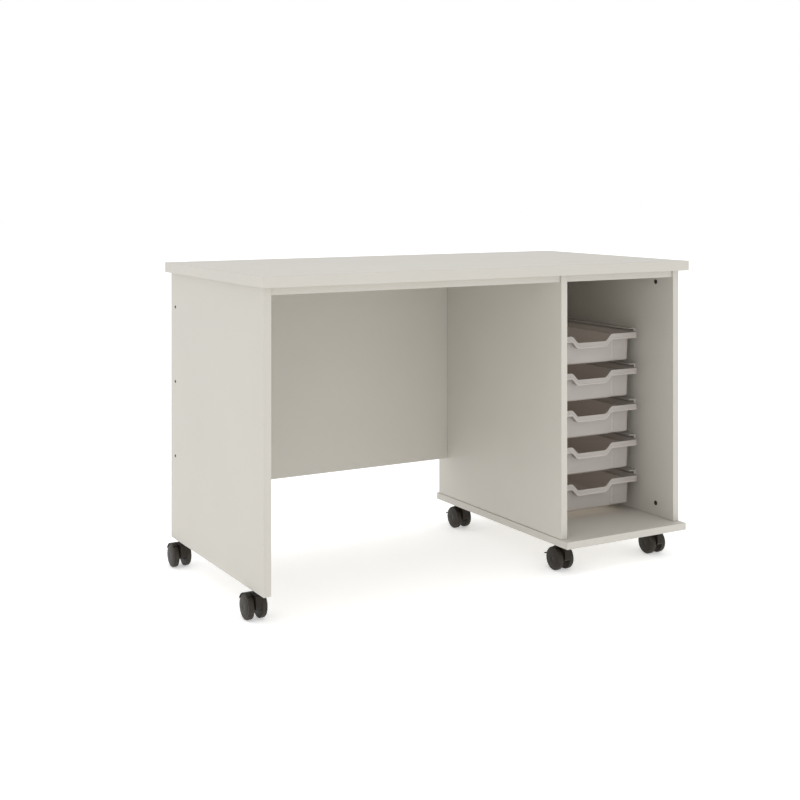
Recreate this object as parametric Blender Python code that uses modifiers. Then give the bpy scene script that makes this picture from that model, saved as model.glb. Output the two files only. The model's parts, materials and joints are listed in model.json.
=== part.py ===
"""Mobile sewing table: a worktop on one end panel and a pedestal of five sliding trays, on six castors.

Metres, +Z up. The origin is on the floor under the middle of the worktop, and -Y is the sitter's side.
"""
import math

import bmesh
import bpy
from mathutils import Matrix, Vector

GAP = 0.0003                    # left between two pieces that touch

# Worktop and panels
TOP_WIDTH = 1.200
TOP_DEPTH = 0.612
TOP_THICKNESS = 0.025
TABLE_HEIGHT = 0.762
BOARD = 0.018                   # thickness of every other panel
EDGE_ROUND = 0.0008
CASTOR_HEIGHT = 0.0665          # floor to the underside of the panels
END_OVERHANG = 0.0125           # worktop past the outer panels
PANEL_FRONT = -0.280
PANEL_BACK = 0.294
PEDESTAL_WIDTH = 0.378
BASE_OVERHANG = 0.002           # base past the pedestal's sides
BASE_FRONT = -0.306
BASE_BACK = 0.303
MODESTY_FRONT = 0.250
MODESTY_BOTTOM = 0.191
RAIL_FRONT = -0.275
RAIL_BACK = 0.2755
RAIL_DEPTH = 0.090

# Trays and their runners
TRAY_COUNT = 5
TRAY_PITCH = 0.0955
TRAY_WIDTH = 0.312
TRAY_LENGTH = 0.427
TRAY_HEIGHT = 0.075
TRAY_WALL = 0.002
TRAY_FRONT = -0.161
LOWEST_RIM = 0.184              # height of the lowest tray's rim
BAND_HEIGHT = 0.0153            # upright band round the rim
LEDGE_SIDE = 0.016              # the band stands this far out from the body
LEDGE_FRONT = 0.018
WALL_TAPER = 0.0025
FLOOR_CHAMFER = 0.003
NOTCH_DEPTH = 0.018             # finger notch in the front
NOTCH_TOP_HALF = 0.067
NOTCH_BOTTOM_HALF = 0.043
LABEL_HALF = 0.0685             # raised field on the front
LABEL_RAISE = 0.0030
LABEL_EDGE = 0.0008             # slope from the front up to the raised field
RUNNER_WALL = 0.002
RUNNER_REACH = 0.0220           # from the pedestal's side to the flanges' edge
RUNNER_LENGTH = 0.400
RUNNER_SETBACK = 0.013          # behind the body of the tray's front
RUNNER_HEADROOM = 0.0043        # from the tray's rim to the upper flange
RUNNER_UPPER = 0.0035           # thickness of the upper flange

# Castors, in the swivel's own frame: the stem is at Y 0 and the wheels trail towards +Y
WHEEL_RADIUS = 0.0290
WHEEL_INNER = 0.0095            # inner face of each wheel, from the castor's middle
WHEEL_OUTER = 0.0234
TREAD_INNER_ROUND = 0.0012
TREAD_OUTER_ROUND = 0.0030
FACE_DOME = 0.0008              # the outer face's middle stands this far past its edge
TRAIL = 0.0205
AXLE_RADIUS = 0.0040
AXLE_HALF = 0.0187
BORE_DEPTH = 0.0097
HOOD_HALF = 0.0078
HOOD_TOP = 0.0598
HOOD_FRONT = -0.0115
FENDER_HALF = 0.0228
FENDER_INNER = 0.0295
FENDER_OUTER = 0.0308
FENDER_REAR_DEG = 25.0
FENDER_FRONT_DEG = 122.0
KINGPIN_RADIUS = 0.0040
KINGPIN_BOTTOM = 0.0360
BOSS_RADIUS = 0.0120
PLATE_HALF = 0.021
PLATE_THICKNESS = 0.0020
STEM_RADIUS = 0.0050
STEM_LENGTH = 0.030
STEM_COLLAR = 0.0088
STEM_HOLE_SPARE = 0.002         # depth of the stem's hole past its end
LEVER_PIVOT_Y = 0.0525
LEVER_PIVOT_Z = 0.0346
LEVER_HALF = 0.017
LEVER_BARREL = 0.0028
LEVER_REACH = 0.0112
LEVER_ARM = 0.014               # from the pivot back into the hood
LEVER_PIN = 0.0015
LUG_RADIUS = 0.0040
ROUND_STEPS = 24

# Positions that follow from the dimensions above
UNDERSIDE = TABLE_HEIGHT - TOP_THICKNESS
BASE_TOP = CASTOR_HEIGHT + BOARD
LEFT_FACE = -TOP_WIDTH / 2 + END_OVERHANG
RIGHT_FACE = TOP_WIDTH / 2 - END_OVERHANG
PEDESTAL_LEFT = RIGHT_FACE - PEDESTAL_WIDTH
INNER_LEFT = PEDESTAL_LEFT + BOARD
INNER_RIGHT = RIGHT_FACE - BOARD
TRAY_X = (INNER_LEFT + INNER_RIGHT) / 2
FRONT_STEM_Y = -0.260
REAR_STEM_Y = 0.2075
PEDESTAL_STEM_X = (0.235, 0.532)
END_STEM_X = LEFT_FACE + BOARD / 2
END_STEM_Y = (-0.225, 0.2395)

CASTORS = {                     # name: stem X, stem Y, whether it bolts on with a plate and has a brake
    "castor_front_left": (END_STEM_X, END_STEM_Y[0], False),
    "castor_rear_left": (END_STEM_X, END_STEM_Y[1], False),
    "castor_front_middle": (PEDESTAL_STEM_X[0], FRONT_STEM_Y, True),
    "castor_rear_middle": (PEDESTAL_STEM_X[0], REAR_STEM_Y, True),
    "castor_front_right": (PEDESTAL_STEM_X[1], FRONT_STEM_Y, True),
    "castor_rear_right": (PEDESTAL_STEM_X[1], REAR_STEM_Y, True),
}


# ---------------------------------------------------------------- scene and materials

def clear_scene():
    for obj in list(bpy.data.objects):
        bpy.data.objects.remove(obj, do_unlink=True)


def new_collection(name):
    collection = bpy.data.collections.new(name)
    bpy.context.scene.collection.children.link(collection)
    return collection


def new_material(name, colour, roughness, metallic=0.0):
    material = bpy.data.materials.new(name)
    material.use_nodes = True
    shader = material.node_tree.nodes["Principled BSDF"]
    shader.inputs["Base Color"].default_value = (*colour, 1.0)
    shader.inputs["Roughness"].default_value = roughness
    shader.inputs["Metallic"].default_value = metallic
    material.diffuse_color = (*colour, 1.0)
    return material


def add_object(name, data, collection, material=None):
    obj = bpy.data.objects.new(name, data)
    collection.objects.link(obj)
    if material and not data.materials:
        data.materials.append(material)
    return obj


def add_empty(name, place, parent=None):
    empty = add_object(name, None, PARTS)
    empty.location = place
    empty.parent = parent
    return empty


# ---------------------------------------------------------------- shape helpers

def mesh_of(bm, name):
    mesh = bpy.data.meshes.new(name)
    bm.to_mesh(mesh)
    bm.free()
    return mesh


def box_mesh(name, size):
    bm = bmesh.new()
    bmesh.ops.create_cube(bm, size=1.0)
    bmesh.ops.scale(bm, vec=size, verts=bm.verts)
    return mesh_of(bm, name)


def rod_mesh(name, radius, length, axis="Z", steps=ROUND_STEPS):
    bm = bmesh.new()
    bmesh.ops.create_cone(bm, cap_ends=True, segments=steps, radius1=radius, radius2=radius, depth=length)
    mesh = mesh_of(bm, name)
    if axis == "X":
        mesh.transform(Matrix.Rotation(math.pi / 2, 4, "Y"))
    return mesh


def baked(obj):
    """The evaluated mesh of a working object, which is then removed."""
    bpy.context.view_layer.update()
    evaluated = obj.evaluated_get(bpy.context.evaluated_depsgraph_get())
    mesh = bpy.data.meshes.new_from_object(evaluated)
    mesh.transform(obj.matrix_world)
    bm = bmesh.new()
    bm.from_mesh(mesh)
    bmesh.ops.remove_doubles(bm, verts=bm.verts, dist=0.00001)
    bm.to_mesh(mesh)
    bm.free()
    mesh.name = obj.name
    bpy.data.objects.remove(obj, do_unlink=True)
    return mesh


def turned_mesh(name, profile):
    """A solid of revolution about Z from (radius, height) points that run from top to bottom."""
    bm = bmesh.new()
    points = [bm.verts.new((radius, 0.0, height)) for radius, height in profile]
    for upper, lower in zip(points, points[1:]):
        bm.edges.new((upper, lower))
    obj = add_object(name, mesh_of(bm, name), CUTTERS)
    screw = obj.modifiers.new("turn", "SCREW")
    screw.axis = "Z"
    screw.steps = ROUND_STEPS
    screw.render_steps = ROUND_STEPS
    screw.use_merge_vertices = True
    screw.merge_threshold = 0.00001
    return baked(obj)


def outline_mesh(name, points, thickness):
    """A flat outline of (y, z) points, made a plate of the given thickness along X."""
    curve = bpy.data.curves.new(name, "CURVE")
    curve.dimensions = "2D"
    curve.fill_mode = "BOTH"
    curve.extrude = thickness / 2
    spline = curve.splines.new("POLY")
    spline.points.add(len(points) - 1)
    for point, (y, z) in zip(spline.points, points):
        point.co = (y, z, 0.0, 1.0)
    spline.use_cyclic_u = True
    obj = add_object(name, curve, CUTTERS)
    obj.matrix_world = Matrix(((0, 0, 1, 0), (1, 0, 0, 0), (0, 1, 0, 0), (0, 0, 0, 1)))
    return baked(obj)


def cut_or_join(name, mesh, steps):
    """The mesh after a chain of (operation, mesh, place) booleans."""
    obj = add_object(name, mesh, CUTTERS)
    tools = []
    for index, (operation, tool_mesh, place) in enumerate(steps):
        tool = add_object(f"{name}_tool_{index}", tool_mesh, CUTTERS)
        tool.location = place
        tool.hide_render = True
        tool.display_type = "WIRE"
        tools.append(tool)
        boolean = obj.modifiers.new(operation.lower(), "BOOLEAN")
        boolean.operation = operation
        boolean.solver = "EXACT"
        boolean.object = tool
    result = baked(obj)
    for tool in tools:
        bpy.data.objects.remove(tool, do_unlink=True)
    return result


def arc(centre_y, centre_z, radius, start_deg, end_deg, count):
    """Points (y, z) along an arc, with angles from +Y towards +Z."""
    angles = [start_deg + (end_deg - start_deg) * i / count for i in range(count + 1)]
    return [(centre_y + radius * math.cos(math.radians(a)), centre_z + radius * math.sin(math.radians(a)))
            for a in angles]


def smooth(mesh, angle_deg=35.0):
    mesh.shade_smooth()
    mesh.set_sharp_from_angle(angle=math.radians(angle_deg))
    return mesh


def round_edges(obj, width, segments=2):
    bevel = obj.modifiers.new("edge_round", "BEVEL")
    bevel.width = width
    bevel.segments = segments
    bevel.limit_method = "ANGLE"
    bevel.angle_limit = math.radians(40)


# ---------------------------------------------------------------- panels

def panel(name, low, high, material=None):
    """A board between two corners, with its edges eased."""
    low, high = Vector(low), Vector(high)
    obj = add_object(name, box_mesh(name, high - low), PARTS, material or LAMINATE)
    obj.location = (low + high) / 2
    round_edges(obj, EDGE_ROUND)
    return obj


def worktop():
    panel("tabletop", (-TOP_WIDTH / 2, -TOP_DEPTH / 2, UNDERSIDE),
          (TOP_WIDTH / 2, TOP_DEPTH / 2, TABLE_HEIGHT), WORKTOP)


def left_end():
    end = panel("left_end_panel", (LEFT_FACE, PANEL_FRONT, CASTOR_HEIGHT),
                (LEFT_FACE + BOARD, PANEL_BACK, UNDERSIDE - GAP))
    depth = STEM_LENGTH + STEM_HOLE_SPARE
    for index, stem_y in enumerate(END_STEM_Y):
        bore = rod_mesh("stem_drill", STEM_RADIUS + GAP, 2 * depth)
        drill = add_object(f"stem_drill_{index}", bore, CUTTERS)
        drill.location = (END_STEM_X, stem_y, CASTOR_HEIGHT)
        drill.hide_render = True
        drill.display_type = "WIRE"
        boolean = end.modifiers.new("stem_hole", "BOOLEAN")
        boolean.operation = "DIFFERENCE"
        boolean.solver = "EXACT"
        boolean.object = drill


def kneehole():
    inner = LEFT_FACE + BOARD + GAP
    panel("modesty_panel", (inner, MODESTY_FRONT, MODESTY_BOTTOM),
          (PEDESTAL_LEFT - GAP, MODESTY_FRONT + BOARD, UNDERSIDE - GAP))
    panel("kneehole_front_rail", (inner, RAIL_FRONT, UNDERSIDE - GAP - BOARD),
          (PEDESTAL_LEFT - GAP, RAIL_FRONT + RAIL_DEPTH, UNDERSIDE - GAP))


def pedestal():
    low, high = BASE_TOP + GAP, UNDERSIDE - GAP
    panel("pedestal_base", (PEDESTAL_LEFT - BASE_OVERHANG, BASE_FRONT, CASTOR_HEIGHT),
          (RIGHT_FACE + BASE_OVERHANG, BASE_BACK, BASE_TOP))
    panel("pedestal_left_side", (PEDESTAL_LEFT, PANEL_FRONT, low), (INNER_LEFT, PANEL_BACK, high))
    panel("pedestal_right_side", (INNER_RIGHT, PANEL_FRONT, low), (RIGHT_FACE, PANEL_BACK, high))
    panel("pedestal_back_panel", (INNER_LEFT + GAP, PANEL_BACK - BOARD, low),
          (INNER_RIGHT - GAP, PANEL_BACK, high))
    rail_y = {"front": RAIL_FRONT, "rear": RAIL_BACK - RAIL_DEPTH}
    for end, start in rail_y.items():
        panel(f"pedestal_top_rail_{end}", (INNER_LEFT + GAP, start, high - BOARD),
              (INNER_RIGHT - GAP, start + RAIL_DEPTH, high))


# ---------------------------------------------------------------- trays and runners

def notch_drop(x):
    """How far the front's top edge drops at x, measured from the tray's middle."""
    reach = (NOTCH_TOP_HALF - abs(x)) / (NOTCH_TOP_HALF - NOTCH_BOTTOM_HALF)
    reach = min(max(reach, 0.0), 1.0)
    return -NOTCH_DEPTH * reach * reach * (3 - 2 * reach)


def front_stations():
    """Places along the front where its outline bends, from the right-hand end to the left."""
    slope = NOTCH_TOP_HALF - NOTCH_BOTTOM_HALF
    half = [LABEL_HALF + LABEL_EDGE, LABEL_HALF]
    half += [NOTCH_TOP_HALF - slope * t for t in (0.0, 0.15, 0.3, 0.5, 0.7, 0.85, 1.0)]
    return half + [-x for x in reversed(half)]


def tray_ring(width, length, corner, height, follows_notch, raised):
    """A rounded rectangle seen from above, anticlockwise from the front's left end."""
    points = []
    for sign_x, sign_y, start in ((1, 1, 0), (-1, 1, 90), (-1, -1, 180), (1, -1, 270)):
        centre_x = sign_x * (width / 2 - corner)
        centre_y = sign_y * (length / 2 - corner)
        for step in range(4):
            angle = math.radians(start + 30 * step)
            x = centre_x + corner * math.cos(angle)
            y = centre_y + corner * math.sin(angle)
            points.append(Vector((x, y, height)))
        if start == 180:
            for x in reversed(front_stations()):
                drop = notch_drop(x) if follows_notch else 0.0
                lift = LABEL_RAISE if raised and abs(x) <= LABEL_HALF + 1e-6 else 0.0
                points.append(Vector((x, -length / 2 - lift, height + drop)))
    return points


def tray_mesh():
    """The tray's outer skin, lofted through rings from the floor up, and made a wall by Solidify."""
    body_width = TRAY_WIDTH - 2 * LEDGE_SIDE
    body_length = TRAY_LENGTH - 2 * LEDGE_FRONT
    foot_width = body_width - 2 * WALL_TAPER
    foot_length = body_length - 2 * WALL_TAPER
    ledge = TRAY_HEIGHT - BAND_HEIGHT
    rings = [
        tray_ring(foot_width - 2 * FLOOR_CHAMFER, foot_length - 2 * FLOOR_CHAMFER, 0.007, 0.0, False, True),
        tray_ring(foot_width, foot_length, 0.010, FLOOR_CHAMFER, False, True),
        tray_ring(body_width, body_length, 0.012, ledge, True, True),
        tray_ring(TRAY_WIDTH, TRAY_LENGTH, 0.012, ledge, True, False),
        tray_ring(TRAY_WIDTH, TRAY_LENGTH, 0.012, TRAY_HEIGHT, True, False),
    ]
    bm = bmesh.new()
    loops = [[bm.verts.new(point) for point in ring] for ring in rings]
    bm.faces.new(list(reversed(loops[0])))
    for lower, upper in zip(loops, loops[1:]):
        for i in range(len(lower)):
            j = (i + 1) % len(lower)
            bm.faces.new((lower[i], lower[j], upper[j], upper[i]))
    obj = add_object("tray", mesh_of(bm, "tray"), CUTTERS)
    wall = obj.modifiers.new("wall", "SOLIDIFY")
    wall.thickness = TRAY_WALL
    wall.offset = -1.0
    wall.use_even_offset = True
    return smooth(baked(obj), 30)


def runner_mesh():
    """A C-shaped channel, open towards +X in its own frame, that a tray's ledge slides in."""
    top = RUNNER_HEADROOM + RUNNER_UPPER
    floor = -BAND_HEIGHT - GAP
    bottom = floor - RUNNER_WALL
    outline = [(0.0, bottom), (RUNNER_REACH, bottom), (RUNNER_REACH, floor),
               (RUNNER_WALL, floor), (RUNNER_WALL, RUNNER_HEADROOM),
               (RUNNER_REACH, RUNNER_HEADROOM), (RUNNER_REACH, top), (0.0, top)]
    mesh = outline_mesh("runner", outline, RUNNER_LENGTH)
    mesh.transform(Matrix.Rotation(-math.pi / 2, 4, "Z"))
    return mesh


def trays_and_runners():
    tray = tray_mesh()
    runner = runner_mesh()
    runner_y = TRAY_FRONT + LEDGE_FRONT + RUNNER_SETBACK + RUNNER_LENGTH / 2
    for level in range(TRAY_COUNT):
        number = TRAY_COUNT - level
        rim = LOWEST_RIM + level * TRAY_PITCH
        obj = add_object(f"tray_{number}", tray, PARTS, TRAY_PLASTIC)
        obj.location = (TRAY_X, TRAY_FRONT + TRAY_LENGTH / 2, rim - TRAY_HEIGHT)
        left = add_object(f"runner_left_{number}", runner, PARTS, RUNNER_PLASTIC)
        left.location = (INNER_LEFT + GAP, runner_y, rim)
        right = add_object(f"runner_right_{number}", runner, PARTS, RUNNER_PLASTIC)
        right.location = (INNER_RIGHT - GAP, runner_y, rim)
        right.rotation_euler.z = math.pi


# ---------------------------------------------------------------- castors

def wheel_mesh():
    """One wheel with its axis along X, its inner face towards -X, and a blind bore for the axle."""
    radius, bore = WHEEL_RADIUS, AXLE_RADIUS + GAP
    face = WHEEL_OUTER - FACE_DOME
    outer, inner = TREAD_OUTER_ROUND, TREAD_INNER_ROUND
    profile = [(0.0, WHEEL_OUTER), (radius * 0.62, WHEEL_OUTER - FACE_DOME / 3), (radius - outer, face),
               (radius - outer * 0.35, face - outer * 0.35), (radius, face - outer),
               (radius, WHEEL_INNER + inner), (radius - inner * 0.3, WHEEL_INNER + inner * 0.3),
               (radius - inner, WHEEL_INNER), (bore, WHEEL_INNER),
               (bore, WHEEL_INNER + BORE_DEPTH), (0.0, WHEEL_INNER + BORE_DEPTH)]
    mesh = turned_mesh("castor_wheel", profile)
    mesh.transform(Matrix.Rotation(math.pi / 2, 4, "Y"))
    return smooth(mesh)


def hood_outline():
    """Side view of the hood's middle: stem housing in front, a disc round the axle, a rounded back."""
    centre_y, centre_z = TRAIL, WHEEL_RADIUS
    front = [(HOOD_FRONT + 0.0020, HOOD_TOP), (HOOD_FRONT, HOOD_TOP - 0.0020)]
    front += [(HOOD_FRONT, WHEEL_RADIUS + 0.003), (HOOD_FRONT + 0.0030, WHEEL_RADIUS - 0.0015)]
    under = arc(centre_y, centre_z, 0.0125, 235, 330, 5)
    back = arc(centre_y, centre_z, FENDER_OUTER, 30, 88, 6)
    return front + under + back + [(0.0140, HOOD_TOP)]


def fender_mesh():
    """The curved guard over both wheels of a castor with no brake."""
    guard = arc(TRAIL, WHEEL_RADIUS, FENDER_OUTER, FENDER_REAR_DEG, FENDER_FRONT_DEG, 12)
    guard += arc(TRAIL, WHEEL_RADIUS, FENDER_INNER, FENDER_FRONT_DEG, FENDER_REAR_DEG, 12)
    return outline_mesh("fender", guard, 2 * FENDER_HALF)


def brake_lug_steps():
    """The arm and lug at the hood's rear that the brake lever hinges on."""
    pivot = (0, LEVER_PIVOT_Y, LEVER_PIVOT_Z)
    lug = rod_mesh("lever_lug", LUG_RADIUS, 2 * HOOD_HALF - 0.0004, "X", 16)
    arm = box_mesh("lever_arm", (2 * HOOD_HALF - 0.0008, LEVER_ARM, 0.0060))
    bore = rod_mesh("lever_bore", LEVER_PIN + GAP, 0.06, "X", 12)
    return [("UNION", arm, (0, LEVER_PIVOT_Y - LEVER_ARM / 2, LEVER_PIVOT_Z)),
            ("UNION", lug, pivot), ("DIFFERENCE", bore, pivot)]


def hood_mesh(braked):
    bore_height = HOOD_TOP - KINGPIN_BOTTOM + 0.001
    steps = [] if braked else [("UNION", fender_mesh(), (0, 0, 0))]
    steps += [
        ("DIFFERENCE", rod_mesh("kingpin_bore", KINGPIN_RADIUS + GAP, 2 * bore_height), (0, 0, HOOD_TOP)),
        ("DIFFERENCE", rod_mesh("axle_bore", AXLE_RADIUS + GAP, 0.06, "X"), (0, TRAIL, WHEEL_RADIUS)),
    ]
    if braked:
        steps += brake_lug_steps()
    mesh = cut_or_join("castor_hood", outline_mesh("hood_core", hood_outline(), 2 * HOOD_HALF), steps)
    return smooth(mesh)


def mount_mesh(plated):
    """The fixed half of a castor: a boss and kingpin under a plate, or under a stem."""
    top = CASTOR_HEIGHT - GAP
    under = top - PLATE_THICKNESS
    boss_bottom = HOOD_TOP + GAP
    kingpin = [(BOSS_RADIUS, under - 0.001), (BOSS_RADIUS, boss_bottom), (KINGPIN_RADIUS, boss_bottom),
               (KINGPIN_RADIUS, KINGPIN_BOTTOM), (0.0, KINGPIN_BOTTOM)]
    if plated:
        boss_top = [(0.0, under + 0.0005), (BOSS_RADIUS - 0.001, under + 0.0005)]
        turned = turned_mesh("castor_mount", boss_top + kingpin)
        plate = box_mesh("castor_plate", (2 * PLATE_HALF, 2 * PLATE_HALF, PLATE_THICKNESS))
        joined = cut_or_join("castor_mount", turned, [("UNION", plate, (0, 0, top - PLATE_THICKNESS / 2))])
        return smooth(joined)
    stem_top = CASTOR_HEIGHT + STEM_LENGTH
    stem = [(0.0, stem_top), (STEM_RADIUS - 0.001, stem_top), (STEM_RADIUS, stem_top - 0.001),
            (STEM_RADIUS, top), (STEM_COLLAR, top), (STEM_COLLAR, under), (BOSS_RADIUS - 0.001, under)]
    return smooth(turned_mesh("castor_mount", stem + kingpin))


def lever_mesh():
    """The brake pedal, with its hinge pin at the origin: two barrels and a tab reaching past the wheels."""
    half = 0.0012
    tip = LEVER_REACH
    side = arc(0, 0, LEVER_BARREL, 25, 335, 10)
    side += [(tip - half, -0.0036), (tip, -0.0020), (tip - half, -0.0002)]
    slot = box_mesh("lever_slot", (2 * HOOD_HALF + 0.0008, 0.020, 0.020))
    pin = rod_mesh("lever_pin", LEVER_PIN, 2 * LEVER_HALF - 0.002, "X", 12)
    steps = [("DIFFERENCE", slot, (0, LUG_RADIUS + 0.0006 - 0.010, 0)), ("UNION", pin, (0, 0, 0))]
    return smooth(cut_or_join("brake_lever", outline_mesh("lever_side", side, 2 * LEVER_HALF), steps))


def castors():
    wheel = wheel_mesh()
    hoods = {braked: hood_mesh(braked) for braked in (False, True)}
    mounts = {plated: mount_mesh(plated) for plated in (False, True)}
    lever = lever_mesh()
    axle = smooth(rod_mesh("castor_axle", AXLE_RADIUS, 2 * AXLE_HALF, "X"))
    for name, (stem_x, stem_y, plated) in CASTORS.items():
        mount = add_object(f"{name}_mount", mounts[plated], PARTS, CASTOR_STEEL)
        mount.location = (stem_x, stem_y, 0)
        swivel = add_empty(f"{name}_swivel", (stem_x, stem_y, 0))
        hood = add_object(f"{name}_hood", hoods[plated], PARTS, CASTOR_PLASTIC)
        hood.parent = swivel
        axle_line = add_empty(f"{name}_axle_line", (0, TRAIL, WHEEL_RADIUS), swivel)
        pin = add_object(f"{name}_axle", axle, PARTS, CASTOR_STEEL)
        pin.parent = axle_line
        for side, turn in (("left", math.pi), ("right", 0.0)):
            disc = add_object(f"{name}_wheel_{side}", wheel, PARTS, TYRE)
            disc.parent = axle_line
            disc.rotation_euler.z = turn
        if plated:
            pedal = add_object(f"{name}_brake_lever", lever, PARTS, CASTOR_PLASTIC)
            pedal.parent = swivel
            pedal.location = (0, LEVER_PIVOT_Y, LEVER_PIVOT_Z)


clear_scene()
PARTS = new_collection("sewing_table")
CUTTERS = new_collection("cutters")
WORKTOP = new_material("worktop_laminate", (0.64, 0.62, 0.57), 0.45)
LAMINATE = new_material("panel_laminate", (0.64, 0.62, 0.57), 0.50)
TRAY_PLASTIC = new_material("tray_plastic", (0.55, 0.53, 0.52), 0.35)
RUNNER_PLASTIC = new_material("runner_plastic", (0.50, 0.49, 0.46), 0.40)
CASTOR_PLASTIC = new_material("castor_plastic", (0.045, 0.042, 0.038), 0.45)
TYRE = new_material("castor_tyre", (0.050, 0.046, 0.042), 0.55)
CASTOR_STEEL = new_material("castor_steel", (0.050, 0.047, 0.044), 0.40, 1.0)

worktop()
left_end()
kneehole()
pedestal()
trays_and_runners()
castors()
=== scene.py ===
"""The looks of the mobile sewing table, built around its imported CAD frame.

Metres, +Z up. The origin is on the floor under the middle of the worktop, and -Y is the sitter's side.
"""
import json
import math

import bmesh
import bpy
from mathutils import Matrix, Vector


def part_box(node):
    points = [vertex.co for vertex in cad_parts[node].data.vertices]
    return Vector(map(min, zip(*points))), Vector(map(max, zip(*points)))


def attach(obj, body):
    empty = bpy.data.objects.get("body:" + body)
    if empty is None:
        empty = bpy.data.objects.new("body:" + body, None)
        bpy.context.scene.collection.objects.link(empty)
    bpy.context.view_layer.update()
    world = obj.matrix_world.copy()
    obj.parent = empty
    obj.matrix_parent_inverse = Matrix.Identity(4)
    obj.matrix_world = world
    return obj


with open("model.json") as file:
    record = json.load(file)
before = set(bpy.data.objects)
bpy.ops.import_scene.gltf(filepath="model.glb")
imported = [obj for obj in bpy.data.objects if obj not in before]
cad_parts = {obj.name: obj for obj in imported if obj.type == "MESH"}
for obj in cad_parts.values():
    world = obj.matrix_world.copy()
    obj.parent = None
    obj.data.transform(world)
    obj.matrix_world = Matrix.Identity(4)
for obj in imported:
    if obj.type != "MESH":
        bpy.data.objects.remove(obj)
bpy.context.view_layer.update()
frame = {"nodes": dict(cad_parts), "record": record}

TRAY_NUMBERS = range(1, 6)
CASTORS = ("front_left", "rear_left", "front_middle", "rear_middle", "front_right", "rear_right")
BRAKED = CASTORS[2:]

# Camera, at the photograph's viewing angle
CAMERA_PLACE = (-1.7426, -2.8792, 0.9555)
CAMERA_YAW = math.radians(-29.891)
CAMERA_LENS = 59.04             # millimetres, on the sensor width below
CAMERA_SENSOR = 36.0
CAMERA_SHIFT_Y = -0.26755

# Colours, linear
PANEL_COLOUR = (0.580, 0.557, 0.506)
TRAY_COLOUR = (0.445, 0.412, 0.382)
# Near-black: painted shade standing for the dark recess round each cam fitting.
CAM_SHADE_COLOUR = (0.012, 0.010, 0.008)
RUNNER_COLOUR = (0.500, 0.475, 0.435)
CASTOR_COLOUR = (0.017, 0.013, 0.008)
TYRE_COLOUR = (0.026, 0.021, 0.016)
STEEL_COLOUR = (0.030, 0.028, 0.026)
FLOOR_COLOUR = (0.950, 0.950, 0.950)
WHITE = (1.0, 1.0, 1.0, 1.0)

# Light
BACKDROP_STRENGTH = 1.0         # the white seen behind the table
DOME_STRENGTH = 0.88            # the even light from all around
FRONT_POWER = 4.5               # watts, from the sitter's side
FRONT_SIZE = 2.2
FRONT_PLACE = (-1.55, -3.60, 1.35)
FRONT_TARGET = (0.20, 0.0, 0.45)
TOP_POWER = 12.0                # watts, from above the worktop
TOP_SIZE = 2.0
TOP_PLACE = (-0.60, -0.40, 3.20)
TOP_TARGET = (0.0, 0.0, 0.70)
BAY_LAMP_POWER = 0.085          # watts, for each of the lamps between the trays
BAY_LAMP_COLOUR = (1.0, 0.90, 0.80)
BAY_LAMP_WIDTH = 0.26
BAY_LAMP_LENGTH = 0.34
BAY_LAMP_HEIGHT = 0.012         # above each tray's rim
BAY_LAMP_TILT = 0.0001          # keeps the direction of a lamp that looks straight down defined
FLOOR_GLOW = 0.39               # the floor gives some light of its own, like a light table
FLOOR_REACH = 30.0              # from the middle to each side of the floor
FLOOR_DROP = 0.0003             # keeps the floor clear of the wheels that stand on it

# Fittings: each head is its radius, how far it stands proud, and its socket's size, depth and sides
PANEL_SCREW_HEAD = (0.0036, 0.0006, 0.0020, 0.0007, 6)
PANEL_SCREW_SHARES = (0.157, 0.500, 0.843)      # up the modesty panel's edge
PANEL_SCREW_SET_BACK = 0.0050                   # behind the middle of that edge
CAM_HEAD = (0.0062, 0.0004, 0.0030, 0.0005, 4)
CAM_FROM_ENDS = 0.034
CAM_FROM_FRONT = 0.068
CAM_FROM_BACK = 0.080
PLATE_SCREW_HEAD = (0.0035, 0.0014, 0.0016, 0.0009, 4)
PLATE_SCREW_INSET = 0.0055
PLATE_THICKNESS = 0.0020
# A wheel cover's profile: radius, and height off the wheel's face
COVER_PROFILE = ((0.0, -0.0011), (0.0218, -0.0011), (0.0224, -0.0006), (0.0218, 0.0000), (0.0180, 0.0005),
                 (0.0110, 0.0010), (0.0030, 0.0013), (0.0022, 0.0010), (0.0, 0.0009))
BEAD_HALF = 0.0024              # beads moulded on the trays' fronts
BEAD_PROUD = 0.0012
BEAD_SIDE = 0.0805              # from the tray's middle to the upright beads
BEAD_FOOT = 0.006               # from the tray's underside to the foot of an upright bead
BEAD_GAP = 0.0005               # from the head of an upright bead to the ledge above it
BEAD_STEPS = 6                  # flats round half a bead
FRONT_TOLERANCE = 0.0002        # points this near a tray's foremost one belong to its front band
POINT_DIGITS = 4                # points that agree to this many decimals share one column
RAY_START = 0.05                # how far ahead of the tray a ray starts towards it
RUNNER_END_WIDTH = 0.0056       # end stops at the front of the runners
RUNNER_END_DEPTH = 0.0050
RUNNER_END_PROUD = 0.0012
RUNNER_END_ROUNDING = 0.0008
STEP = 0.0002                   # how far a fitting's underside stays off the face it sits on
SOCKET_LIP = 0.0001
HEAD_EDGE = 0.55                # how far up a head its domed edge starts
HEAD_CROWN = 0.93               # the flat crown's share of a head's radius
TURNED_STEPS = 64
HEAD_STEPS = 48
SHARP_ANGLE = math.radians(32)  # edges of a fitting sharper than this are not smoothed over
SOFTENED_ANGLE = math.radians(28)       # edges of a CAD node sharper than this are rounded
ROUNDING_STEPS = 2


# ---------------------------------------------------------------- mesh helpers

def add_piece(name, bm, material, body):
    mesh = bpy.data.meshes.new(name)
    bm.to_mesh(mesh)
    bm.free()
    mesh.materials.append(material)
    mesh.shade_smooth()
    mesh.set_sharp_from_angle(angle=SHARP_ANGLE)
    piece = bpy.data.objects.new(name, mesh)
    bpy.context.scene.collection.objects.link(piece)
    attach(piece, body)
    return piece


def circle_point(place, radius, angle, height):
    return place @ Vector((radius * math.cos(angle), radius * math.sin(angle), height))


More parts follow.
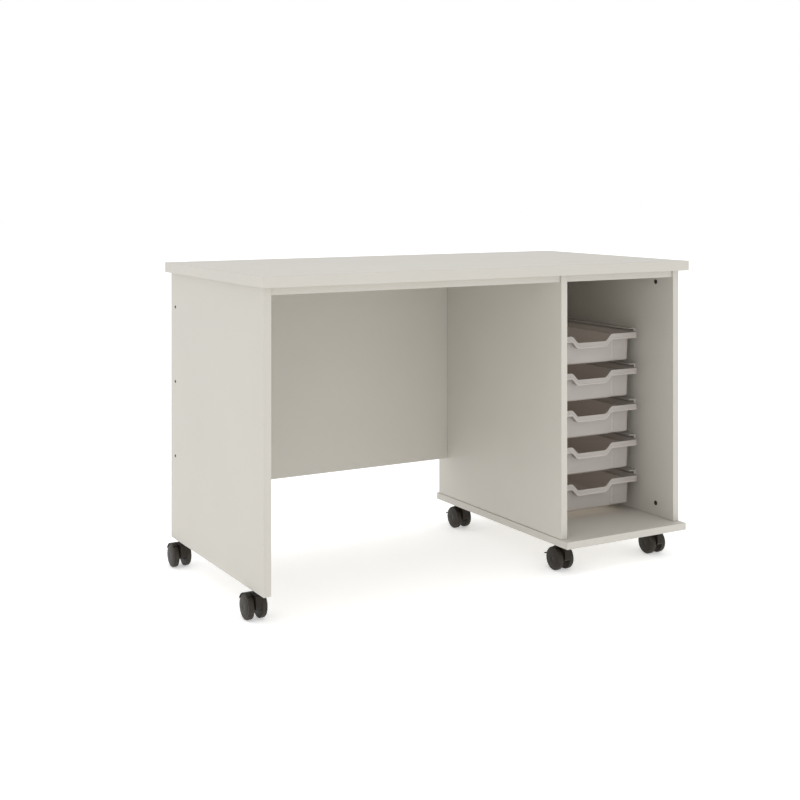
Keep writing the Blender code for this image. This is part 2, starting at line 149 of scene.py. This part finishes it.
def turned(bm, profile, place):
    """Turns (radius, height) points, from bottom centre to top centre, about Z, then puts them in place."""
    rings = []
    for radius, height in profile:
        count = TURNED_STEPS if radius > 0 else 1
        angles = [math.tau * i / count for i in range(count)]
        rings.append([bm.verts.new(circle_point(place, radius, angle, height)) for angle in angles])
    for lower, upper in zip(rings, rings[1:]):
        for i in range(TURNED_STEPS):
            j = (i + 1) % TURNED_STEPS
            corners = [lower[i % len(lower)], lower[j % len(lower)]]
            corners += [upper[j % len(upper)], upper[i % len(upper)]]
            bm.faces.new(list(dict.fromkeys(corners)))


def facing(place, normal):
    """A frame at place whose Z points along normal."""
    turn = Vector((0, 0, 1)).rotation_difference(Vector(normal)).to_matrix().to_4x4()
    return Matrix.Translation(Vector(place)) @ turn


def socketed_head(bm, place, head):
    """A low domed screw or cam head with a many-sided socket sunk in its middle."""
    radius, proud, socket, depth, sides = head

    def ring(radius_at, height):
        angles = [math.tau * i / HEAD_STEPS for i in range(HEAD_STEPS)]
        return [bm.verts.new(circle_point(place, radius_at(angle), angle, height)) for angle in angles]

    def socket_at(angle):
        half = math.pi / sides
        return socket * math.cos(half) / math.cos(angle % (2 * half) - half)

    top = STEP + proud
    centre = bm.verts.new(place @ Vector((0, 0, STEP)))
    rings = [
        ring(lambda angle: radius, STEP),
        ring(lambda angle: radius, STEP + proud * HEAD_EDGE),
        ring(lambda angle: radius * HEAD_CROWN, top),
        ring(lambda angle: socket_at(angle) + SOCKET_LIP, top),
        ring(socket_at, top - SOCKET_LIP),
        ring(socket_at, top - depth),
    ]
    for i in range(HEAD_STEPS):
        bm.faces.new((centre, rings[0][(i + 1) % HEAD_STEPS], rings[0][i]))
    for lower, upper in zip(rings, rings[1:]):
        for i in range(HEAD_STEPS):
            j = (i + 1) % HEAD_STEPS
            bm.faces.new((lower[i], lower[j], upper[j], upper[i]))
    bm.faces.new(rings[-1])


# ---------------------------------------------------------------- material helpers

NOISE_LOW, NOISE_HIGH = 0.3, 0.7        # most of a noise texture's values lie between these
LAMINATE_SPECULAR = 0.38
NYLON_SPECULAR = 0.25


class Nodes:
    """A short way to lay out one material's nodes."""

    def __init__(self, name):
        self.material = bpy.data.materials.new(name)
        self.material.use_nodes = True
        self.tree = self.material.node_tree
        self.shader = self.tree.nodes["Principled BSDF"]
        self.place = self.add("ShaderNodeTexCoord").outputs["Object"]

    def add(self, kind, **settings):
        node = self.tree.nodes.new(kind)
        for key, value in settings.items():
            setattr(node, key, value)
        return node

    def link(self, output, target):
        self.tree.links.new(output, target)

    def noise(self, scale, detail=3.0, roughness=0.5, stretch=None):
        source = self.place
        if stretch:
            mapping = self.add("ShaderNodeMapping")
            mapping.inputs["Scale"].default_value = stretch
            self.link(source, mapping.inputs["Vector"])
            source = mapping.outputs["Vector"]
        node = self.add("ShaderNodeTexNoise")
        node.inputs["Scale"].default_value = scale
        node.inputs["Detail"].default_value = detail
        node.inputs["Roughness"].default_value = roughness
        self.link(source, node.inputs["Vector"])
        return node.outputs["Fac"]

    def spread(self, value, low, high):
        """Maps a noise value on to low to high."""
        node = self.add("ShaderNodeMapRange")
        node.inputs["From Min"].default_value = NOISE_LOW
        node.inputs["From Max"].default_value = NOISE_HIGH
        node.inputs["To Min"].default_value = low
        node.inputs["To Max"].default_value = high
        self.link(value, node.inputs["Value"])
        return node.outputs["Result"]

    def tint(self, value, dark, light):
        """Maps a noise value on to the colours from dark to light."""
        ramp = self.add("ShaderNodeValToRGB")
        ramp.color_ramp.elements[0].position = NOISE_LOW
        ramp.color_ramp.elements[0].color = (*dark, 1.0)
        ramp.color_ramp.elements[1].position = NOISE_HIGH
        ramp.color_ramp.elements[1].color = (*light, 1.0)
        self.link(value, ramp.inputs["Fac"])
        return ramp.outputs["Color"]

    def bump(self, height, strength, distance, under=None):
        node = self.add("ShaderNodeBump")
        node.inputs["Strength"].default_value = strength
        node.inputs["Distance"].default_value = distance
        self.link(height, node.inputs["Height"])
        if under:
            self.link(under, node.inputs["Normal"])
        return node.outputs["Normal"]


def shade(colour, factor):
    return tuple(c * factor for c in colour)


def laminate(name, colour, roughness):
    """Melamine facing: a fine pearled texture about 0.6 mm across, with a faint cloudiness."""
    n = Nodes(name)
    cloud = n.noise(5.0, detail=4.0)
    n.link(n.tint(cloud, shade(colour, 0.985), shade(colour, 1.012)), n.shader.inputs["Base Color"])
    gloss = n.spread(n.noise(420.0), low=roughness - 0.04, high=roughness + 0.05)
    n.link(gloss, n.shader.inputs["Roughness"])
    pearl = n.bump(n.noise(1600.0, detail=2.0), strength=0.22, distance=0.00006)
    ripple = n.bump(n.noise(260.0, detail=2.0), strength=0.12, distance=0.00008, under=pearl)
    n.link(ripple, n.shader.inputs["Normal"])
    n.shader.inputs["Specular IOR Level"].default_value = LAMINATE_SPECULAR
    return n.material


def moulded(name, colour, roughness, grain, depth, variation=0.03):
    """Moulded plastic with a spark-eroded grain of the given size, and faint flow marks."""
    n = Nodes(name)
    flow = n.noise(14.0, stretch=(1.0, 1.0, 3.0))
    tint = n.tint(flow, shade(colour, 1 - variation), shade(colour, 1 + variation))
    n.link(tint, n.shader.inputs["Base Color"])
    gloss = n.spread(n.noise(grain * 0.4), low=roughness - 0.05, high=roughness + 0.07)
    n.link(gloss, n.shader.inputs["Roughness"])
    n.link(n.bump(n.noise(grain, detail=2.0), strength=0.30, distance=depth), n.shader.inputs["Normal"])
    return n.material


def tyre_material():
    """Nylon tread: the moulded grain, scuffed lighter and duller in patches where it has rolled."""
    n = Nodes("castor_tyre_nylon")
    scuff = n.noise(130.0, detail=5.0, roughness=0.65)
    n.link(n.tint(scuff, shade(TYRE_COLOUR, 0.8), shade(TYRE_COLOUR, 1.7)), n.shader.inputs["Base Color"])
    n.link(n.spread(scuff, low=0.38, high=0.62), n.shader.inputs["Roughness"])
    n.link(n.bump(n.noise(1500.0, detail=2.0), strength=0.25, distance=0.00005), n.shader.inputs["Normal"])
    n.shader.inputs["Specular IOR Level"].default_value = NYLON_SPECULAR
    return n.material


def blacked_steel():
    """Blacked steel, finely brushed along X."""
    n = Nodes("blacked_steel")
    brush = n.noise(900.0, roughness=0.6, stretch=(0.05, 1.0, 1.0))
    n.link(n.tint(brush, shade(STEEL_COLOUR, 0.9), shade(STEEL_COLOUR, 1.08)), n.shader.inputs["Base Color"])
    n.link(n.spread(brush, low=0.24, high=0.42), n.shader.inputs["Roughness"])
    n.link(n.bump(brush, strength=0.15, distance=0.00003), n.shader.inputs["Normal"])
    n.shader.inputs["Metallic"].default_value = 1.0
    return n.material


def castor_nylon():
    """The castors' black nylon, duller than the other mouldings."""
    material = moulded("castor_nylon", CASTOR_COLOUR, 0.42, 1300.0, 0.00005, variation=0.12)
    material.node_tree.nodes["Principled BSDF"].inputs["Specular IOR Level"].default_value = NYLON_SPECULAR
    return material


MATERIALS = {
    "worktop": laminate("worktop_laminate", PANEL_COLOUR, 0.46),
    "panel": laminate("panel_laminate", PANEL_COLOUR, 0.50),
    "tray": moulded("tray_plastic", TRAY_COLOUR, 0.34, 1100.0, 0.00004),
    "runner": moulded("runner_plastic", RUNNER_COLOUR, 0.38, 900.0, 0.00004),
    "castor_plastic": castor_nylon(),
    "castor_tyre": tyre_material(),
    "castor_steel": blacked_steel(),
}
EDGE_ROUNDING = {"worktop": 0.0008, "panel": 0.0005, "tray": 0.0006, "runner": 0.0004}
# The beads' plastic is 13% lighter than the tray's: a painted highlight for the light their raised edges
# catch.
TRAY_BEAD_PAINTED_HIGHLIGHT = moulded("tray_plastic_painted_highlight", shade(TRAY_COLOUR, 1.13), 0.28, 1100.0, 0.00002)
# The cam fittings' near-black plastic is painted shade of their recesses.
CAM_PAINTED_SHADE = moulded("cam_painted_shade", CAM_SHADE_COLOUR, 0.55, 1200.0, 0.00003)


def soften(node, width):
    """Rounds a node's sharp edges by a little, as its moulding or edging does."""
    bevel = node.modifiers.new("soft_edges", "BEVEL")
    bevel.width = width
    bevel.segments = ROUNDING_STEPS
    bevel.limit_method = "ANGLE"
    bevel.angle_limit = SOFTENED_ANGLE
    bevel.use_clamp_overlap = True
    bevel.harden_normals = True


def dress_cad_nodes():
    """Gives each CAD node the finish of its own material slot, and softens the edges of the worktop, panels,
    trays and runners.
    """
    slots = {entry["node"]: entry["material_slot"] for entry in frame["record"]["subparts"]}
    for name, node in frame["nodes"].items():
        node.data.materials.clear()
        node.data.materials.append(MATERIALS[slots[name]])
        if slots[name] in EDGE_ROUNDING:
            soften(node, EDGE_ROUNDING[slots[name]])


# ---------------------------------------------------------------- fittings

def end_panel_screws():
    """Three socket-headed screws through the left end panel into the modesty panel's edge."""
    panel_low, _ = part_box("left_end_panel")
    modesty_low, modesty_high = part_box("modesty_panel")
    middle_y = (modesty_low.y + modesty_high.y) / 2
    span = modesty_high.z - modesty_low.z
    for index, share in enumerate(PANEL_SCREW_SHARES):
        bm = bmesh.new()
        place = Vector((panel_low.x, middle_y + PANEL_SCREW_SET_BACK, modesty_low.z + share * span))
        socketed_head(bm, facing(place, (-1, 0, 0)), PANEL_SCREW_HEAD)
        add_piece(f"end_panel_screw_{index + 1}", bm, MATERIALS["castor_steel"], "table")


def cam_housings():
    """Cam fittings flush in the inner faces of the pedestal's sides, near its top rail and its base, coloured
    near-black as painted shade of the recesses they sit in.
    """
    left_low, left_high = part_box("pedestal_left_side")
    right_low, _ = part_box("pedestal_right_side")
    heights = (left_low.z + CAM_FROM_ENDS, left_high.z - CAM_FROM_ENDS)
    fronts = (left_low.y + CAM_FROM_FRONT, left_high.y - CAM_FROM_BACK)
    faces = (("left", left_high.x, (1, 0, 0)), ("right", right_low.x, (-1, 0, 0)))
    for side, face, normal in faces:
        bm = bmesh.new()
        for height in heights:
            for front in fronts:
                socketed_head(bm, facing((face, front, height), normal), CAM_HEAD)
        add_piece(f"cam_fittings_{side}", bm, CAM_PAINTED_SHADE, "table")


def bead(bm, path, across):
    """Sweeps a low half-round bead along a path; across gives the sideways direction at each point."""
    rings = []
    for point, side in zip(path, across):
        ring = []
        for step in range(BEAD_STEPS + 1):
            angle = math.pi * step / BEAD_STEPS
            outward = Vector((0, STEP - BEAD_PROUD * math.sin(angle), 0))
            ring.append(bm.verts.new(point + side * (BEAD_HALF * math.cos(angle)) + outward))
        rings.append(ring)
    for before, after in zip(rings, rings[1:]):
        for i in range(len(before)):
            j = (i + 1) % len(before)
            bm.faces.new((before[i], before[j], after[j], after[i]))
    bm.faces.new(rings[0][::-1])
    bm.faces.new(rings[-1])


def mitres(path):
    """The sideways direction at each point of a path in an upright plane facing the sitter."""
    directions = []
    for i, point in enumerate(path):
        before = (point - path[max(i - 1, 0)]).normalized()
        after = (path[min(i + 1, len(path) - 1)] - point).normalized()
        along = (before + after).normalized()
        directions.append(Vector((along.z, 0, -along.x)))
    return directions


def tray_front_beads():
    """A bead along the foot of each tray's front band, and one down either side of its raised field, in a
    lighter plastic that paints a highlight on them.
    """
    for number in TRAY_NUMBERS:
        name = f"tray_{number}"
        node = frame["nodes"][name]
        low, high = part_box(name)
        middle = (low.x + high.x) / 2
        foot = {}
        for vertex in node.data.vertices:
            place = node.matrix_world @ vertex.co
            if place.y < low.y + FRONT_TOLERANCE:
                key = round(place.x, POINT_DIGITS)
                foot[key] = min(foot.get(key, place.z), place.z)
        path = [Vector((x, low.y, foot[x] + BEAD_HALF)) for x in sorted(foot)]
        bm = bmesh.new()
        bead(bm, path, mitres(path))
        inverse = node.matrix_world.inverted()
        ledge = foot[min(foot)]
        for side in (-1, 1):
            x = middle + side * BEAD_SIDE
            upright = []
            for z in (low.z + BEAD_FOOT, ledge - BEAD_GAP):
                start = inverse @ Vector((x, low.y - RAY_START, z))
                _, hit, _, _ = node.ray_cast(start, Vector((0, 1, 0)))
                upright.append(node.matrix_world @ hit)
            bead(bm, upright, mitres(upright))
        bmesh.ops.recalc_face_normals(bm, faces=bm.faces)
        add_piece(f"{name}_front_beads", bm, TRAY_BEAD_PAINTED_HIGHLIGHT, name)


def rounded_block(bm, low, high, rounding):
    """A block between two corners, with its edges rounded."""
    block = bmesh.ops.create_cube(bm, size=1.0)["verts"]
    middle = (low + high) / 2
    for vertex in block:
        vertex.co = middle + Vector(c * s for c, s in zip(vertex.co, high - low))
    edges = list({edge for vertex in block for edge in vertex.link_edges})
    bmesh.ops.bevel(bm, geom=edges, offset=rounding, segments=ROUNDING_STEPS, profile=0.6, affect="EDGES")


def runner_ends():
    """The moulded stop at the front end of each runner."""
    for side in ("left", "right"):
        bm = bmesh.new()
        for number in TRAY_NUMBERS:
            low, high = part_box(f"runner_{side}_{number}")
            if side == "left":
                near, far = low.x, low.x + RUNNER_END_WIDTH
            else:
                near, far = high.x - RUNNER_END_WIDTH, high.x
            front = low.y - RUNNER_END_PROUD
            back = front + RUNNER_END_DEPTH
            rounded_block(bm, Vector((near, front, low.z)), Vector((far, back, high.z)), RUNNER_END_ROUNDING)
        add_piece(f"runner_ends_{side}", bm, MATERIALS["runner"], "table")


def castor_plate_screws():
    """Four cross-recessed screws up through each bolted castor's plate."""
    for castor in BRAKED:
        low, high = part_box(f"castor_{castor}_mount")
        under = high.z - PLATE_THICKNESS
        bm = bmesh.new()
        for x in (low.x + PLATE_SCREW_INSET, high.x - PLATE_SCREW_INSET):
            for y in (low.y + PLATE_SCREW_INSET, high.y - PLATE_SCREW_INSET):
                socketed_head(bm, facing((x, y, under), (0, 0, -1)), PLATE_SCREW_HEAD)
        add_piece(f"castor_{castor}_plate_screws", bm, MATERIALS["castor_steel"], "table")


def wheel_covers():
    """The plain domed cover on each wheel's outer face, with a seam round it and a dimple in the middle."""
    for castor in CASTORS:
        for side, normal in (("left", (-1, 0, 0)), ("right", (1, 0, 0))):
            node = f"castor_{castor}_wheel_{side}"
            low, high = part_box(node)
            face = low.x if side == "left" else high.x
            middle = (low + high) / 2
            bm = bmesh.new()
            turned(bm, COVER_PROFILE, facing((face, middle.y, middle.z), normal))
            name = f"castor_{castor}_cover_{side}"
            add_piece(name, bm, MATERIALS["castor_plastic"], node)


# ---------------------------------------------------------------- setting

def studio_floor():
    """A plain pale floor, with the faintest mottling."""
    n = Nodes("studio_floor")
    n.link(n.tint(n.noise(2.0), shade(FLOOR_COLOUR, 0.995), FLOOR_COLOUR), n.shader.inputs["Base Color"])
    n.shader.inputs["Roughness"].default_value = 0.9
    n.shader.inputs["Emission Color"].default_value = WHITE
    n.shader.inputs["Emission Strength"].default_value = FLOOR_GLOW
    bm = bmesh.new()
    bmesh.ops.create_grid(bm, x_segments=2, y_segments=2, size=FLOOR_REACH)
    mesh = bpy.data.meshes.new("studio_floor")
    bm.to_mesh(mesh)
    bm.free()
    mesh.materials.append(n.material)
    floor = bpy.data.objects.new("studio_floor", mesh)
    floor.location.z = -FLOOR_DROP
    bpy.context.scene.collection.objects.link(floor)


def area_light(name, place, target, size, power, depth=None):
    """A round lamp of the given size, or an oblong one when a depth is given, that the camera doesn't see."""
    light = bpy.data.lights.new(name, "AREA")
    light.shape = "RECTANGLE" if depth else "DISK"
    light.size = size
    light.size_y = depth or size
    light.energy = power
    lamp = bpy.data.objects.new(name, light)
    lamp.location = place
    direction = Vector(target) - Vector(place)
    lamp.rotation_euler = direction.to_track_quat("-Z", "Y").to_euler()
    lamp.visible_camera = False
    bpy.context.scene.collection.objects.link(lamp)
    return light


def tray_bay_lights():
    """Weak lamps over the trays and under the lowest, for the light that finds its way round the trays."""
    boxes = [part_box(f"tray_{number}") for number in TRAY_NUMBERS]
    lowest = boxes[-1][0].z
    heights = [high.z + BAY_LAMP_HEIGHT for _, high in boxes] + [lowest - BAY_LAMP_HEIGHT / 2]
    low, high = boxes[0]
    middle = (low + high) / 2
    for index, height in enumerate(heights):
        place = Vector((middle.x, middle.y, height))
        below = place - Vector((0, BAY_LAMP_TILT, 1))
        name = f"tray_bay_{index + 1}"
        light = area_light(name, place, below, BAY_LAMP_WIDTH, BAY_LAMP_POWER, BAY_LAMP_LENGTH)
        light.color = BAY_LAMP_COLOUR


def studio_light():
    """Even light all round, a white backdrop for the camera alone, and two large soft lamps."""
    world = bpy.data.worlds.new("studio")
    world.use_nodes = True
    tree = world.node_tree
    dome = tree.nodes["Background"]
    dome.inputs["Color"].default_value = WHITE
    dome.inputs["Strength"].default_value = DOME_STRENGTH
    backdrop = tree.nodes.new("ShaderNodeBackground")
    backdrop.inputs["Color"].default_value = WHITE
    backdrop.inputs["Strength"].default_value = BACKDROP_STRENGTH
    choice = tree.nodes.new("ShaderNodeMixShader")
    path = tree.nodes.new("ShaderNodeLightPath")
    tree.links.new(path.outputs["Is Camera Ray"], choice.inputs["Fac"])
    tree.links.new(dome.outputs["Background"], choice.inputs[1])
    tree.links.new(backdrop.outputs["Background"], choice.inputs[2])
    tree.links.new(choice.outputs["Shader"], tree.nodes["World Output"].inputs["Surface"])
    bpy.context.scene.world = world
    bpy.context.scene.view_settings.view_transform = "Standard"
    area_light("front", FRONT_PLACE, FRONT_TARGET, FRONT_SIZE, FRONT_POWER)
    area_light("top", TOP_PLACE, TOP_TARGET, TOP_SIZE, TOP_POWER)


def camera():
    """A level camera at the photograph's viewing angle, shifted down to frame the table."""
    data = bpy.data.cameras.new("camera")
    data.lens = CAMERA_LENS
    data.sensor_width = CAMERA_SENSOR
    data.shift_y = CAMERA_SHIFT_Y
    obj = bpy.data.objects.new("camera", data)
    obj.location = CAMERA_PLACE
    obj.rotation_euler = (math.radians(90), 0.0, CAMERA_YAW)
    bpy.context.scene.collection.objects.link(obj)
    bpy.context.scene.camera = obj


camera()
dress_cad_nodes()
end_panel_screws()
cam_housings()
tray_front_beads()
runner_ends()
castor_plate_screws()
wheel_covers()
studio_floor()
studio_light()
tray_bay_lights()
